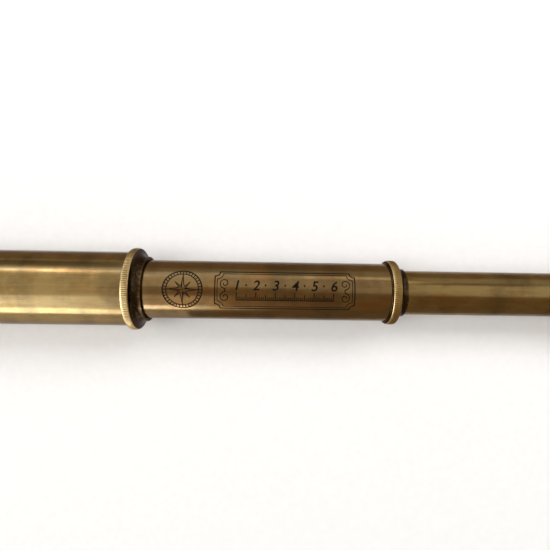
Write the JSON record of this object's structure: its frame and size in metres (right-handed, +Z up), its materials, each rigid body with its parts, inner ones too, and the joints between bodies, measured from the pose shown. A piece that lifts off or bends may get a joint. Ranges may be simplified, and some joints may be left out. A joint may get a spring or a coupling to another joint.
{
  "type": "hand spyglass",
  "caption": "Slim brass hand telescope: a main barrel and sliding draws with knurled collars, a recessed objective, a flared eye cup and a pivoting dust shutter.",
  "frame": {"origin": "under the middle of the extended length, at the lowest point of the knurled rings", "axes": "+X along the optical axis from the objective to the eye, +Z up, +Y to the side"},
  "size_m": [0.4572, 0.0444, 0.0443],
  "materials": {
    "barrel_brass": "antiqued olive-gold brass, circumferentially brushed, semi-gloss",
    "draw_1_brass": "antiqued brown brass, polished along its sliding surface",
    "draw_2_brass": "antiqued olive-brown brass, polished along its sliding surface",
    "collar_brass": "knurled brass, worn pale on the teeth, dark in the coves",
    "inner_brass": "dull unpolished brass",
    "screw_brass": "darkened brass screw",
    "blackened_brass": "chemically blackened, matt",
    "sleeve_cloth": "dark brown felted cloth",
    "crown_glass": "polished clear crown glass",
    "flint_glass": "polished clear flint glass"
  },
  "bodies": {
    "barrel": {"barrel_tube": "barrel_brass", "objective_cell": "collar_brass", "objective_crown_lens": "crown_glass", "objective_flint_lens": "flint_glass", "objective_retaining_ring": "blackened_brass", "barrel_glare_stop": "blackened_brass", "barrel_collar": "collar_brass", "barrel_cloth_sleeve": "sleeve_cloth"},
    "draw_1": {"draw_1_tube": "draw_1_brass", "draw_1_guide_ring": "inner_brass", "draw_1_collar": "collar_brass", "draw_1_cloth_sleeve": "sleeve_cloth"},
    "draw_2": {"draw_2_tube": "draw_2_brass", "draw_2_guide_ring": "inner_brass", "erector_tube": "inner_brass", "erector_front_lens": "crown_glass", "erector_front_ring": "blackened_brass", "erector_diaphragm": "blackened_brass", "erector_rear_lens": "crown_glass", "erector_rear_ring": "blackened_brass", "eyepiece_collar": "collar_brass", "eyepiece_tube": "inner_brass", "field_lens": "crown_glass", "field_lens_ring": "blackened_brass", "field_stop": "blackened_brass", "eye_lens": "crown_glass", "eye_lens_ring": "blackened_brass", "eye_cup": "collar_brass", "shutter_pivot_screw": "screw_brass"},
    "shutter": {"eyepiece_shutter": "collar_brass"}
  },
  "joints": [
    {"name": "draw_1_slide", "type": "slide", "parent": "barrel", "child": "draw_1", "axis": [-1, 0, 0], "range_m": [0, 0.1283]},
    {"name": "draw_2_slide", "type": "slide", "parent": "draw_1", "child": "draw_2", "axis": [-1, 0, 0], "range_m": [0, 0.1017]},
    {"name": "shutter_pivot", "type": "hinge", "parent": "draw_2", "child": "shutter", "pos_m": [0.2208, 0, 0.03075], "axis": [-1, 0, 0], "range_deg": [0, 65]}
  ]
}
